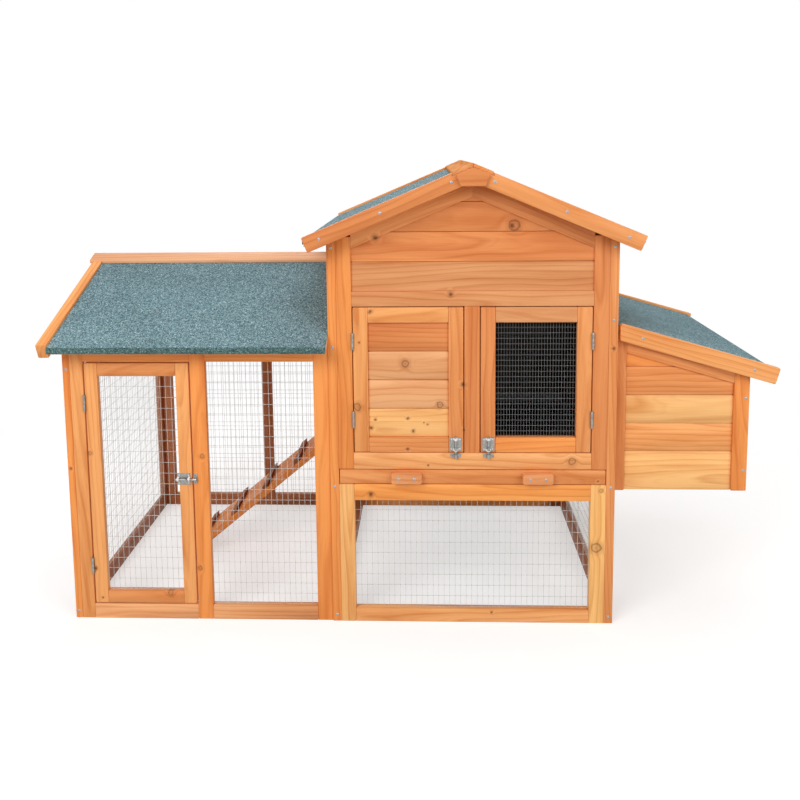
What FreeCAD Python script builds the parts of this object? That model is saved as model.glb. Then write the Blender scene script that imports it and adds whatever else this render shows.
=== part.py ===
"""Rabbit hutch: a raised house, a mesh run with a ramp, and a nest box.

Millimetres, +Z up, the front towards -Y.  The origin is on the floor, under the middle of the
whole hutch.  The driving sizes are in the Sizes sheet and the levels and planes that follow from
them in the Layout sheet; every board is bound to those cells.
"""
import FreeCAD, Part
import math
import os
import re

import Sketcher
from FreeCAD import Rotation, Vector

SIZES = {
    # house
    "house_width": 640, "house_depth": 660, "side_thick": 20, "front_thick": 20, "stile": 34,
    "base_rail": 32, "under_gap": 259, "ledger_rail": 38, "tray_slot": 36, "sill_rail": 38,
    "door_tall": 334, "header_rail": 34, "mullion": 34, "door_gap": 2, "door_thick": 18,
    "door_stile": 33, "door_rail": 34, "door_plank_rows": 4,
    "plank": 65.5, "plank_joint": 0.6, "plank_thick": 10, "plank_recess": 5,
    "hole_rows": 4, "hole_low": 306, "hole_wide": 170, "nest_hole_rows": 3, "nest_hole_wide": 220,
    # house roof
    "roof_slope": 0.42, "roof_over": 48, "eave_top": 888, "overhang": 46, "deck": 12, "felt": 3,
    "felt_lip": 10, "barge_tall": 29, "barge_thick": 18, "barge_proud": 6, "gable_rail": 45,
    "cap_half": 44, "cap_thick": 8, "keystone_thick": 8, "keystone_half": 37, "keystone_tall": 40,
    "keystone_foot": 25.9,
    # run
    "run_length": 604, "run_setback": 3, "run_thick": 16, "run_stile": 30, "run_post": 35,
    "run_rail": 35, "run_door_wide": 238, "run_door_top": 609, "run_door_gap": 3,
    "run_eave_top": 655, "run_overhang": 36, "run_cap_over": 8, "back_post_place": 268,
    "run_barge_thick": 24, "run_cap_half": 36, "run_felt_lip": 14,
    # ramp
    "ramp_foot": 438, "ramp_wide": 150, "ramp_thick": 16, "ramp_margin": 10, "cleat_pitch": 112,
    "cleat_wide": 20, "cleat_thick": 9, "cleat_count": 4,
    # nest box
    "nest_length": 300, "nest_inset": 28, "nest_bottom": 306, "nest_sole": 25.5,
    "nest_thick": 16, "nest_post": 26, "nest_rail": 41, "nest_floor": 12, "lid_slope": 0.29,
    "lid_top": 692, "lid_over": 57, "lid_inset": 5, "lid_play": 0.4, "lid_rest": 0.4,
    "lid_fold": 20, "lid_felt_inset": 12,
    "lid_barge_tall": 31, "lid_barge_thick": 16, "batten_tall": 30, "lid_hinge_place": 200,
    # wire mesh
    "wire": 1.6, "mesh_wide": 25.4, "mesh_tall": 50.8, "window_wide": 12.7, "window_tall": 25.4,
    # tray
    "tray_gap": 1.5, "tray_front_thick": 18, "pan_wall": 1.5, "pan_tall": 28, "pan_back_gap": 8,
    "runner_wide": 26, "runner_tall": 14, "tray_lift": 0.3,
    "handle_wide": 70, "handle_tall": 24, "handle_deep": 15, "handle_place": 147,
    # hinges, bolts and screws
    "hinge_tall": 38, "leaf_wide": 15, "leaf_thick": 0.8, "knuckle_rad": 2.8, "pin_rad": 1.4,
    "run_fit": 0.05, "knuckle_gap": 0.3, "hinge_inset": 76, "run_hinge_inset": 92,
    "plate_wide": 27, "plate_tall": 30, "plate_thick": 1.5, "plate_edge": 4,
    "guide_wide": 12, "guide_tall": 5, "guide_deep": 8, "rod_rad": 2.6, "rod_tail": 3,
    "rod_short": 1, "keeper_tall": 9, "keeper_wide": 24, "keeper_start": 3, "keeper_play": 0.4,
    "lever_rad": 1.8, "lever_long": 10, "lever_gap": 0.5, "knob_rad": 3.4, "knob_long": 5,
    "latch_place": 339, "screw_rad": 3.4, "screw_head": 1.4, "ledger_screw_drop": 6,
    "screw_high_left": 645, "screw_high_right": 705, "screw_drop": 24, "nest_screw_high": 216,
    "barge_screw_near": 46, "barge_screw_middle": 198, "barge_screw_far": 329,
    "lid_screw_near": 56,
    # how far a cutting shape stands past the piece, and the least part of a plank row
    "cut_past": 1, "row_slack": 0.05,
}

LAYOUT = {
    "house_left": "-(house_width + nest_length + lid_over - run_length - run_overhang"
                  " - run_cap_over) / 2",
    "house_right": "house_left + house_width",
    "house_mid": "house_left + house_width / 2",
    "front": "(keystone_thick - house_depth) / 2",
    "back": "front + house_depth",
    "middle": "front + house_depth / 2",
    "inner_left": "house_left + side_thick",
    "inner_right": "house_right - side_thick",
    "ledger_low": "base_rail + under_gap",
    "tray_low": "ledger_low + ledger_rail",
    "sill_low": "tray_low + tray_slot",
    "door_low": "sill_low + sill_rail",
    "header_low": "door_low + door_tall",
    "gable_low": "header_low + header_rail",
    "slant": "sqrt(1 + roof_slope ^ 2)",
    "lid_slant": "sqrt(1 + lid_slope ^ 2)",
    "felt_drop": "felt * slant",
    "deck_drop": "deck * slant",
    "barge_drop": "barge_tall * slant",
    "cap_drop": "cap_thick * slant",
    "roof_half": "house_width / 2 + roof_over",
    "apex": "eave_top + roof_slope * roof_half",
    "house_top": "eave_top + roof_slope * (roof_half - house_width / 2) - felt_drop - deck_drop",
    "run_left": "house_left - run_length",
    "run_front": "front + run_setback",
    "run_back": "back - run_setback",
    "run_half": "house_depth / 2 + overhang",
    "run_apex": "run_eave_top + roof_slope * run_half",
    "run_top": "run_eave_top + roof_slope * (overhang + run_setback) - felt_drop - deck_drop",
    "run_roof_left": "run_left - run_overhang",
    "door_start": "run_left + run_thick + run_stile + run_door_gap",
    "door_end": "door_start + run_door_wide",
    "post_left": "door_end + run_door_gap",
    "rail_high": "run_door_top + run_door_gap",
    "hole_front": "front + hole_low",
    "hole_back": "hole_front + hole_wide",
    "nest_right": "house_right + nest_length",
    "nest_front": "front + nest_inset",
    "nest_back": "back - nest_inset",
    "lid_low": "lid_top - (felt + deck) * lid_slant - lid_rest",
    "lid_gap": "2 * knuckle_rad + lid_play",
    "lid_axis": "lid_top - lid_slope * lid_gap + knuckle_rad",
    "lid_end": "nest_right + lid_over",
    "lid_front": "front + lid_inset",
    "lid_back": "back - lid_inset",
}

doc = FreeCAD.newDocument("RabbitHutch")


def make_sheets():
    """Write the driving sizes as plain numbers and the layout as formulas of them."""
    sizes = doc.addObject("Spreadsheet::Sheet", "Sizes")
    for row, (alias, value) in enumerate(SIZES.items(), 1):
        sizes.set(f"A{row}", alias)
        sizes.set(f"B{row}", str(value))
        sizes.setAlias(f"B{row}", alias)
    doc.recompute()
    layout = doc.addObject("Spreadsheet::Sheet", "Layout")
    for row, (alias, formula) in enumerate(LAYOUT.items(), 1):
        layout.set(f"A{row}", alias)
        layout.set(f"B{row}", "=" + bound(formula))
        layout.setAlias(f"B{row}", alias)
        doc.recompute()
    return sizes


def bound(formula):
    """Give each alias in a formula the name of the sheet that holds it."""
    def with_sheet(match):
        word = match.group(0)
        if word in SIZES:
            return "Sizes." + word
        return "Layout." + word if word in LAYOUT else word
    return re.sub(r"[a-z_]+", with_sheet, str(formula))


def value(formula):
    """The number that a formula has now."""
    return float(sheet.evalExpression(bound(formula)))


def place(item, x, y, z):
    """Bind an object's position to three formulas."""
    for axis, formula in zip("xyz", (x, y, z)):
        item.setExpression("Placement.Base." + axis, bound(formula))


def board(name, x, y, z):
    """A box between three pairs of formulas, low then high."""
    box = doc.addObject("Part::Box", name)
    for size, (low, high) in zip(("Length", "Width", "Height"), (x, y, z)):
        box.setExpression(size, bound(f"({high}) - ({low})"))
    place(box, x[0], y[0], z[0])
    return box


TURNS = {
    "x": Rotation(Vector(0, 1, 0), 90),
    "y": Rotation(Vector(1, 0, 0), -90),
    "z": Rotation(),
}


def rod(name, axis, start, radius, length):
    """A cylinder that starts at a point and runs along one axis."""
    cylinder = doc.addObject("Part::Cylinder", name)
    cylinder.Placement.Rotation = TURNS[axis]
    cylinder.setExpression("Radius", bound(radius))
    cylinder.setExpression("Height", bound(length))
    place(cylinder, *start)
    return cylinder


def prism(name, along, corners, span):
    """A flat outline, seen along X or Y, pulled out between two planes.

    Along "y" the corners are (x, z) formulas and along "x" they are (y, z) formulas.
    """
    sketch = doc.addObject("Sketcher::SketchObject", name + "_outline")
    points = [Vector(value(across), value(up), 0) for across, up in corners]
    count = len(points)
    for number in range(count):
        sketch.addGeometry(Part.LineSegment(points[number], points[(number + 1) % count]))
    for number in range(count):
        following = (number + 1) % count
        sketch.addConstraint(Sketcher.Constraint("Coincident", number, 2, following, 1))
    for number, (across, up) in enumerate(corners):
        for kind, formula in (("DistanceX", across), ("DistanceY", up)):
            rule = Sketcher.Constraint(kind, -1, 1, number, 1, value(formula))
            index = sketch.addConstraint(rule)
            sketch.setExpression(f"Constraints[{index}]", bound(formula))
    if along == "y":
        sketch.Placement.Rotation = Rotation(Vector(1, 0, 0), 90)
        direction = Vector(0, 1, 0)
    else:
        sketch.Placement.Rotation = Rotation(Vector(1, 1, 1), 120)
        direction = Vector(1, 0, 0)
    sketch.setExpression("Placement.Base." + along, bound(span[0]))
    pull = doc.addObject("Part::Extrusion", name)
    pull.Base = sketch
    pull.DirMode = "Custom"
    pull.Dir = direction
    pull.Solid = True
    pull.setExpression("LengthFwd", bound(f"({span[1]}) - ({span[0]})"))
    return pull


def fused(name, pieces):
    """One solid from several that meet."""
    union = doc.addObject("Part::MultiFuse", name)
    union.Shapes = pieces
    return union


def cut(name, base, tool):
    """The base with the tool taken away."""
    difference = doc.addObject("Part::Cut", name)
    difference.Base = base
    difference.Tool = tool
    return difference


def common(name, base, tool):
    """What the base and the tool share."""
    shared = doc.addObject("Part::Common", name)
    shared.Base = base
    shared.Tool = tool
    return shared


nodes = []


def node(label, pieces):
    """One named sub-part that holds its pieces as separate solids."""
    group = doc.addObject("Part::Compound", label)
    group.Label = label
    group.Links = pieces
    nodes.append(group)


def slope_board(name, along, middle, side, near, far, top, drop, span):
    """A board on one slope of a gable, between two distances from the ridge plane."""
    corners = []
    for distance, depth in ((near, "0"), (far, "0"), (far, drop), (near, drop)):
        across = f"{middle} + ({side}) * ({distance})"
        corners.append((across, f"{top} - roof_slope * ({distance}) - ({depth})"))
    return prism(name, along, corners, span)


def felt_sheets(name, along, middle, side, far, top, lip, span):
    """The felt of one slope: the sheet itself and the strip folded down over the eave."""
    return [
        slope_board(f"{name}_sheet", along, middle, side, "0", f"{far} - felt", top, "felt_drop",
                    span),
        slope_board(f"{name}_fold", along, middle, side, f"{far} - felt", far, top, lip, span),
    ]


def barge(name, along, middle, side, far, top, notch, span):
    """A barge board under one slope of a gable.

    It stands proud of the felt, is notched where the ridge cap lies, and has a square lower end.
    """
    def spot(distance, depth):
        across = f"{middle} + ({side}) * ({distance})"
        return across, f"{top} - roof_slope * ({distance}) - ({depth})"
    rise = "-barge_proud * slant"
    foot = f"{far} - (barge_tall + barge_proud) * roof_slope / slant"
    corners = [spot("0", "0"), spot(notch, "0"), spot(notch, rise), spot(far, rise),
               spot(foot, "barge_drop"), spot("0", "barge_drop")]
    return prism(name, along, corners, span)


def rows(low, high, pitch="plank"):
    """The low and high formulas of each plank in a wall, the last one cut to fit."""
    count = math.ceil((value(high) - value(low)) / value(pitch) - value("row_slack"))
    levels = []
    for number in range(count):
        bottom = f"{low} + {number} * {pitch}"
        top = f"{low} + {number + 1} * {pitch} - plank_joint"
        levels.append((bottom, high if number == count - 1 else top))
    return levels


def mesh_panel(name, along, across, up, at, pitch=("mesh_wide", "mesh_tall")):
    """A welded mesh panel: a flat grid of wires, square to X or Y, filling an opening."""
    wire = value("wire")
    wide = value(across[1]) - value(across[0])
    tall = value(up[1]) - value(up[0])
    columns = round((wide - wire) / value(pitch[0]))
    lines = round((tall - wire) / value(pitch[1]))
    step_across = (wide - wire) / columns
    step_up = (tall - wire) / lines
    wires = [rectangle(0, 0, wide, tall)]
    for column in range(columns):
        for line in range(lines):
            left = wire + column * step_across
            low = wire + line * step_up
            wires.append(rectangle(left, low, step_across - wire, step_up - wire))
    face = Part.Face(wires)
    face.validate()
    panel = doc.addObject("Part::Feature", name)
    panel.Shape = face.extrude(Vector(0, 0, wire))
    if along == "y":
        panel.Placement.Rotation = Rotation(Vector(1, 0, 0), 90)
        place(panel, across[0], f"{at} + wire / 2", up[0])
    else:
        panel.Placement.Rotation = Rotation(Vector(1, 1, 1), 120)
        place(panel, f"{at} - wire / 2", across[0], up[0])
    return panel


def rectangle(left, low, wide, tall):
    """A closed rectangular wire in the XY plane."""
    corners = [Vector(left, low), Vector(left + wide, low), Vector(left + wide, low + tall),
               Vector(left, low + tall), Vector(left, low)]
    return Part.makePolygon(corners)


def screw_heads(name, axis, direction, face, spots, radius="screw_rad"):
    """Round screw heads on a flat face; direction is the side that they stand out to."""
    start = face if direction > 0 else f"({face}) - screw_head"
    heads = []
    for number, (first, second) in enumerate(spots):
        point = (start, first, second) if axis == "x" else (first, start, second)
        heads.append(rod(f"{name}_{number}", axis, point, radius, "screw_head"))
    return heads


# ---- house ------------------------------------------------------------------------------------

def house_end_frame(label, outer, inward):
    """The front or back frame: lower panel, and the uprights and rails around the upper wall."""
    depth = sorted((outer, f"{outer} + ({inward}) * front_thick"), key=value)
    pieces = []
    for side, low, high in (("left", "inner_left", "inner_left + stile"),
                            ("right", "inner_right - stile", "inner_right")):
        pieces.append(board(f"{label}_leg_{side}", (low, high), depth, ("0", "tray_low")))
        pieces.append(board(f"{label}_stile_{side}", (low, high), depth,
                            ("sill_low", "house_top")))
    between = ("inner_left + stile", "inner_right - stile")
    pieces.append(board(f"{label}_base", between, depth, ("0", "base_rail")))
    pieces.append(board(f"{label}_ledger", between, depth, ("ledger_low", "tray_low")))
    pieces.append(board(f"{label}_sill", between, depth, ("sill_low", "door_low")))
    if outer == "front":
        pieces.append(board(f"{label}_header", between, depth, ("header_low", "gable_low")))
        middle = ("house_mid - mullion / 2", "house_mid + mullion / 2")
        pieces.append(board(f"{label}_mullion", middle, depth, ("door_low", "header_low")))
    else:
        wide = ("inner_left", "inner_right")
        pieces.append(board(f"{label}_tray_stop", wide, depth, ("tray_low", "sill_low")))
    node(label, pieces)


def house_side_frame(label, outer, inward):
    """A side frame: two corner posts with rails between them."""
    thick = sorted((outer, f"{outer} + ({inward}) * side_thick"), key=value)
    inside = ("front + stile", "back - stile")
    pieces = [
        board(f"{label}_post_front", thick, ("front", "front + stile"), ("0", "house_top")),
        board(f"{label}_post_back", thick, ("back - stile", "back"), ("0", "house_top")),
        board(f"{label}_base", thick, inside, ("0", "base_rail")),
        board(f"{label}_ledger", thick, inside, ("ledger_low", "sill_low")),
        board(f"{label}_top", thick, inside, ("house_top - header_rail", "house_top")),
    ]
    node(label, pieces)


def wall_planks(label, thick, low, high, hole, hole_rows):
    """Horizontal planks of a side wall, parted in the lowest rows by a doorway."""
    inside = ("front + stile", "back - stile")
    pieces = []
    for number, level in enumerate(rows(low, high)):
        if number < hole_rows:
            pieces.append(board(f"{label}_{number}_front", thick, (inside[0], hole[0]), level))
            pieces.append(board(f"{label}_{number}_back", thick, (hole[1], inside[1]), level))
        else:
            pieces.append(board(f"{label}_{number}", thick, inside, level))
    node(label, pieces)


def gable_space(name, span):
    """The space under the roof boards and between the uprights, as a solid to clip planks with."""
    high = "apex - felt_drop - deck_drop"
    half = "(inner_right - inner_left) / 2 - stile"
    corners = [
        (f"house_mid - ({half})", "tray_low"), (f"house_mid + ({half})", "tray_low"),
        (f"house_mid + ({half})", f"{high} - roof_slope * ({half})"),
        ("house_mid", high),
        (f"house_mid - ({half})", f"{high} - roof_slope * ({half})"),
    ]
    return prism(name, "y", corners, span)


def end_wall_planks(label, low, span):
    """Planks of the front or back wall, clipped to the roof slope at the top."""
    space = gable_space(f"{label}_space", span)
    between = ("inner_left + stile", "inner_right - stile")
    high = "apex - felt_drop - deck_drop"
    pieces = []
    for number, level in enumerate(rows(low, high)):
        plank = board(f"{label}_{number}_board", between, span, level)
        pieces.append(common(f"{label}_{number}", plank, space))
    node(label, pieces)


def house_walls():
    house_end_frame("house_front_frame", "front", 1)
    house_end_frame("house_back_frame", "back", -1)
    house_side_frame("house_left_frame", "house_left", 1)
    house_side_frame("house_right_frame", "house_right", -1)
    left = ("house_left + plank_recess", "house_left + plank_recess + plank_thick")
    right = ("house_right - plank_recess - plank_thick", "house_right - plank_recess")
    top = "house_top - header_rail"
    wall_planks("house_left_planks", left, "sill_low", top, ("hole_front", "hole_back"),
                value("hole_rows"))
    nest_hole = ("middle - nest_hole_wide / 2", "middle + nest_hole_wide / 2")
    wall_planks("house_right_planks", right, "sill_low", top, nest_hole,
                value("nest_hole_rows"))
    end_wall_planks("front_gable_planks", "gable_low",
                    ("front + plank_recess", "front + plank_recess + plank_thick"))
    end_wall_planks("house_back_planks", "door_low",
                    ("back - plank_recess - plank_thick", "back - plank_recess"))


def gable_rails():
    """Sloped rails that close the top of the front and back walls under the roof boards."""
    far = "house_width / 2 - side_thick - stile"
    pieces = []
    for end, span in (("front", ("front", "front + plank_recess")),
                      ("back", ("back - plank_recess", "back"))):
        for side in (-1, 1):
            pieces.append(slope_board(
                f"gable_rail_{end}_{side + 1}", "y", "house_mid", side, "0", far,
                "apex - felt_drop - deck_drop", "gable_rail * slant", span))
    node("gable_rails", pieces)


def house_roof():
    ends = ("front - overhang", "back + overhang")
    inside = (f"{ends[0]} + barge_thick", f"{ends[1]} - barge_thick")
    decks, felts, barges, caps = [], [], [], []
    for side in (-1, 1):
        tag = side + 1
        decks.append(slope_board(f"house_deck_{tag}", "y", "house_mid", side, "0",
                                 "roof_half - felt", "apex - felt_drop", "deck_drop", inside))
        felts += felt_sheets(f"house_felt_{tag}", "y", "house_mid", side, "roof_half", "apex",
                             "felt_lip", inside)
        for end, span in (("front", (ends[0], inside[0])), ("back", (inside[1], ends[1]))):
            barges.append(barge(f"house_barge_{end}_{tag}", "y", "house_mid", side, "roof_half",
                                "apex", "cap_half", span))
        caps.append(slope_board(f"house_cap_{tag}", "y", "house_mid", side, "0", "cap_half",
                                "apex + cap_drop", "cap_drop", ends))
    node("house_roof_boards", decks)
    node("house_roof_felt", felts)
    node("house_barge_boards", barges)
    node("house_ridge_cap", caps)
    keystone = [
        ("house_mid", "apex"),
        ("house_mid + keystone_half", "apex - roof_slope * keystone_half"),
        ("house_mid + keystone_foot", "apex - keystone_tall"),
        ("house_mid - keystone_foot", "apex - keystone_tall"),
        ("house_mid - keystone_half", "apex - roof_slope * keystone_half"),
    ]
    node("house_keystone", [prism("keystone_plate", "y", keystone,
                                  ("front - overhang - keystone_thick", "front - overhang"))])


# ---- run --------------------------------------------------------------------------------------

def run_long_frame(label, outer, inward, posts):
    """The front or back frame of the run, with uprights at the given places."""
    depth = sorted((outer, f"{outer} + ({inward}) * run_thick"), key=value)
    pieces = []
    for number, (low, high) in enumerate(posts):
        pieces.append(board(f"{label}_post_{number}", (low, high), depth, ("0", "run_top")))
    for number in range(len(posts) - 1):
        between = (posts[number][1], posts[number + 1][0])
        pieces.append(board(f"{label}_base_{number}", between, depth, ("0", "run_rail")))
        pieces.append(board(f"{label}_top_{number}", between, depth, ("rail_high", "run_top")))
    node(label, pieces)


def run_walls():
    first = ("run_left + run_thick", "run_left + run_thick + run_stile")
    last = ("house_left - run_post", "house_left")
    middle = ("post_left", "post_left + run_post")
    back_middle = ("house_left - back_post_place - run_stile / 2",
                   "house_left - back_post_place + run_stile / 2")
    run_long_frame("run_front_frame", "run_front", 1, (first, middle, last))
    run_long_frame("run_back_frame", "run_back", -1, (first, back_middle, last))
    thick = ("run_left", "run_left + run_thick")
    inside = ("run_front + run_stile", "run_back - run_stile")
    node("run_left_frame", [
        board("run_left_post_front", thick, ("run_front", inside[0]), ("0", "run_top")),
        board("run_left_post_back", thick, (inside[1], "run_back"), ("0", "run_top")),
        board("run_left_base", thick, inside, ("0", "run_rail")),
        board("run_left_top", thick, inside, ("rail_high", "run_top")),
    ])
    up = ("run_rail", "rail_high")
    front_at = "run_front + run_thick / 2"
    back_at = "run_back - run_thick / 2"
    node("run_mesh_panels", [
        mesh_panel("run_front_grid", "y", (middle[1], last[0]), up, front_at),
        mesh_panel("run_back_grid_left", "y", (first[1], back_middle[0]), up, back_at),
        mesh_panel("run_back_grid_right", "y", (back_middle[1], last[0]), up, back_at),
        mesh_panel("run_left_grid", "x", inside, up, "run_left + run_thick / 2")])


def run_gable_planks():
    """Short planks that close the triangle under the left end of the run's roof."""
    high = "run_apex - felt_drop - deck_drop"
    half = "house_depth / 2 - run_setback"
    corners = [(f"middle - ({half})", "run_top"), (f"middle + ({half})", "run_top"),
               ("middle", high)]
    thick = ("run_left + run_thick - plank_thick", "run_left + run_thick")
    space = prism("run_gable_space", "x", corners, thick)
    pieces = []
    for number, level in enumerate(rows("run_top", high)):
        plank = board(f"run_gable_{number}_board", thick, ("run_front", "run_back"), level)
        pieces.append(common(f"run_gable_{number}", plank, space))
    node("run_gable_planks", pieces)


def run_roof():
    inside = ("run_roof_left + run_barge_thick", "house_left")
    decks, felts, barges, caps = [], [], [], []
    for side in (-1, 1):
        tag = side + 1
        decks.append(slope_board(f"run_deck_{tag}", "x", "middle", side, "0",
                                 "run_half - felt", "run_apex - felt_drop", "deck_drop", inside))
        felts += felt_sheets(f"run_felt_{tag}", "x", "middle", side, "run_half", "run_apex",
                             "run_felt_lip", inside)
        barges.append(barge(f"run_barge_{tag}", "x", "middle", side, "run_half", "run_apex",
                            "run_cap_half", ("run_roof_left", inside[0])))
        caps.append(slope_board(f"run_cap_{tag}", "x", "middle", side, "0", "run_cap_half",
                                "run_apex + cap_drop", "cap_drop",
                                ("run_roof_left - run_cap_over", "house_left")))
    node("run_roof_boards", decks)
    node("run_roof_felt", felts)
    node("run_barge_boards", barges)
    node("run_ridge_cap", caps)


def ramp():
    """A board from the run's floor to the doorway in the house's left wall, with cleats."""
    side = ("hole_front + ramp_margin", "hole_front + ramp_margin + ramp_wide")
    foot = "house_left - ramp_foot"
    tilt = "(sill_low / ramp_foot)"
    thick = f"ramp_thick * sqrt(1 + {tilt} ^ 2)"
    corners = [(foot, "0"), (f"{foot} + {thick} / {tilt}", "0"),
               ("house_left", f"sill_low - {thick}"), ("house_left", "sill_low")]
    node("ramp_board", [prism("ramp_plank", "y", corners, side)])
    cleats = []
    for number in range(int(value("cleat_count"))):
        start = f"(cleat_pitch * ({number} + 0.5)) / sqrt(1 + {tilt} ^ 2)"
        run = f"cleat_wide / sqrt(1 + {tilt} ^ 2)"
        lift = f"cleat_thick * sqrt(1 + {tilt} ^ 2)"
        low_x = f"{foot} + {start}"
        high_x = f"{low_x} + {run}"
        low_z = f"({start}) * {tilt}"
        high_z = f"(({start}) + {run}) * {tilt}"
        cleats.append(prism(f"cleat_{number}", "y", [
            (low_x, low_z), (high_x, high_z), (high_x, f"{high_z} + {lift}"),
            (low_x, f"{low_z} + {lift}")], side))
    node("ramp_cleats", cleats)


# ---- nest box ---------------------------------------------------------------------------------

def under_lid(x, drop="0"):
    """The height of the lid's seat at a place along X, less a drop."""
    return f"lid_low - lid_slope * (({x}) - house_right) - ({drop})"


def nest_rows(high):
    """The nest box's plank levels: the lowest plank is wider than the rest."""
    levels = rows("nest_bottom + nest_sole", high)
    return [("nest_bottom", levels[0][1])] + levels[1:]


def nest_side(label, outer, inward):
    """The front or back wall of the nest box: two posts, a sloped rail and planks."""
    depth = sorted((outer, f"{outer} + ({inward}) * nest_thick"), key=value)
    thick = sorted((f"{outer} + ({inward}) * plank_recess",
                    f"{outer} + ({inward}) * (plank_recess + plank_thick)"), key=value)
    inner, outside = "house_right + nest_post", "nest_right - stile"
    frame = []
    for tag, low, high in (("inner", "house_right", inner), ("outer", outside, "nest_right")):
        corners = [(low, "nest_bottom"), (high, "nest_bottom"), (high, under_lid(high)),
                   (low, under_lid(low))]
        frame.append(prism(f"{label}_post_{tag}", "y", corners, depth))
    rail = "nest_rail * lid_slant"
    corners = [(inner, under_lid(inner, rail)), (outside, under_lid(outside, rail)),
               (outside, under_lid(outside)), (inner, under_lid(inner))]
    frame.append(prism(f"{label}_rail", "y", corners, depth))
    corners = [(inner, "nest_bottom"), (outside, "nest_bottom"),
               (outside, under_lid(outside, rail)), (inner, under_lid(inner, rail))]
    space = prism(f"{label}_space", "y", corners, thick)
    planks = []
    for number, level in enumerate(nest_rows(under_lid(inner, rail))):
        plank = board(f"{label}_{number}_board", (inner, outside), thick, level)
        planks.append(common(f"{label}_{number}", plank, space))
    return frame, planks


def nest_box():
    front_frame, front_planks = nest_side("nest_front", "nest_front", 1)
    back_frame, back_planks = nest_side("nest_back", "nest_back", -1)
    between = ("nest_front + nest_thick", "nest_back - nest_thick")
    thick = ("nest_right - plank_recess - plank_thick", "nest_right - plank_recess")
    end_planks = []
    for number, level in enumerate(nest_rows(under_lid("nest_right", "nest_thick"))):
        end_planks.append(board(f"nest_end_{number}", thick, between, level))
    end_rail = board("nest_end_rail", ("nest_right - nest_thick", "nest_right"), between,
                     (under_lid("nest_right", "nest_thick"), under_lid("nest_right")))
    node("nest_frame", front_frame + back_frame + [end_rail])
    node("nest_planks", front_planks + back_planks + end_planks)
    node("nest_floor", [board("nest_floor_board", ("house_right", thick[0]), between,
                              ("nest_bottom", "nest_bottom + nest_floor"))])
    node("lid_batten", [board("lid_hinge_batten", ("house_right - plank_recess", "house_right"),
                              ("front + stile", "back - stile"),
                              ("lid_axis - batten_tall", "lid_axis"))])


def lid_board(name, near, far, top, drop, span):
    """A sloped board of the lid; top and drop are measured down from the lid's upper face."""
    corners = []
    for x, depth in ((near, top), (far, top), (far, f"({top}) + ({drop})"),
                     (near, f"({top}) + ({drop})")):
        corners.append((x, f"lid_top - lid_slope * (({x}) - house_right) - ({depth})"))
    return prism(name, "y", corners, span)


def lid():
    near = "house_right + lid_gap"
    inside = ("lid_front + lid_barge_thick", "lid_back - lid_barge_thick")
    felt = "felt * lid_slant"
    fold = ("lid_end - lid_felt_inset - felt", "lid_end - lid_felt_inset")
    node("lid_boards", [lid_board("lid_deck", near, fold[0], felt, "deck * lid_slant", inside)])
    node("lid_felt", [
        lid_board("lid_felt_top", near, fold[0], "0", felt, inside),
        lid_board("lid_felt_fold", fold[0], fold[1], "0", "lid_fold", inside)])
    rise = "-barge_proud * lid_slant"
    tip = "lid_end - (lid_barge_tall + barge_proud) * lid_slope / lid_slant"
    barges = []
    for tag, span in (("front", ("lid_front", inside[0])), ("back", (inside[1], "lid_back"))):
        corners = [(x, f"lid_top - lid_slope * (({x}) - house_right) - ({depth})")
                   for x, depth in ((near, "0"), (f"{near} + barge_proud", rise),
                                    ("lid_end", rise),
                                    (tip, "lid_barge_tall * lid_slant"),
                                    (near, "lid_barge_tall * lid_slant"))]
        barges.append(prism(f"lid_barge_{tag}", "y", corners, span))
    node("lid_barge_boards", barges)


# ---- doors ------------------------------------------------------------------------------------

def door_frame(label, across, face, thick, low, high, stile, rail):
    """A door's two stiles and two rails; gives back the space that they leave."""
    left, right = across
    depth = (face, f"{face} + {thick}")
    inside = (f"{left} + {stile}", f"{right} - {stile}")
    node(label, [
        board(f"{label}_stile_left", (left, inside[0]), depth, (low, high)),
        board(f"{label}_stile_right", (inside[1], right), depth, (low, high)),
        board(f"{label}_rail_low", inside, depth, (low, f"{low} + {rail}")),
        board(f"{label}_rail_high", inside, depth, (f"{high} - {rail}", high)),
    ])
    return inside, (f"{low} + {rail}", f"{high} - {rail}")


LEFT_DOOR = ("inner_left + stile + door_gap", "house_mid - mullion / 2 - door_gap")
RIGHT_DOOR = ("house_mid + mullion / 2 + door_gap", "inner_right - stile - door_gap")
RUN_DOOR = ("door_start", "door_end")
DOOR_LOW = "door_low + door_gap"
DOOR_HIGH = "header_low - door_gap"
RUN_DOOR_LOW = "run_rail + run_door_gap"


def doors():
    across, up = door_frame("left_door_frame", LEFT_DOOR, "front", "door_thick", DOOR_LOW,
                            DOOR_HIGH, "door_stile", "door_rail")
    depth = ("front + plank_recess", "front + plank_recess + plank_thick")
    count = int(value("door_plank_rows"))
    pitch = f"(({up[1]}) - ({up[0]})) / door_plank_rows"
    planks = []
    for number in range(count):
        gap = "0" if number == count - 1 else "plank_joint"
        level = (f"{up[0]} + {number} * {pitch}", f"{up[0]} + {number + 1} * {pitch} - {gap}")
        planks.append(board(f"left_door_plank_{number}", across, depth, level))
    node("left_door_planks", planks)
    across, up = door_frame("right_door_frame", RIGHT_DOOR, "front", "door_thick", DOOR_LOW,
                            DOOR_HIGH, "door_stile", "door_rail")
    node("right_door_mesh", [mesh_panel("right_door_grid", "y", across, up,
                                        "front + door_thick / 2",
                                        ("window_wide", "window_tall"))])
    across, up = door_frame("run_door_frame", RUN_DOOR, "run_front", "run_thick", RUN_DOOR_LOW,
                            "run_door_top", "run_stile", "run_stile")
    node("run_door_mesh", [mesh_panel("run_door_grid", "y", across, up,
                                      "run_front + run_thick / 2")])


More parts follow.
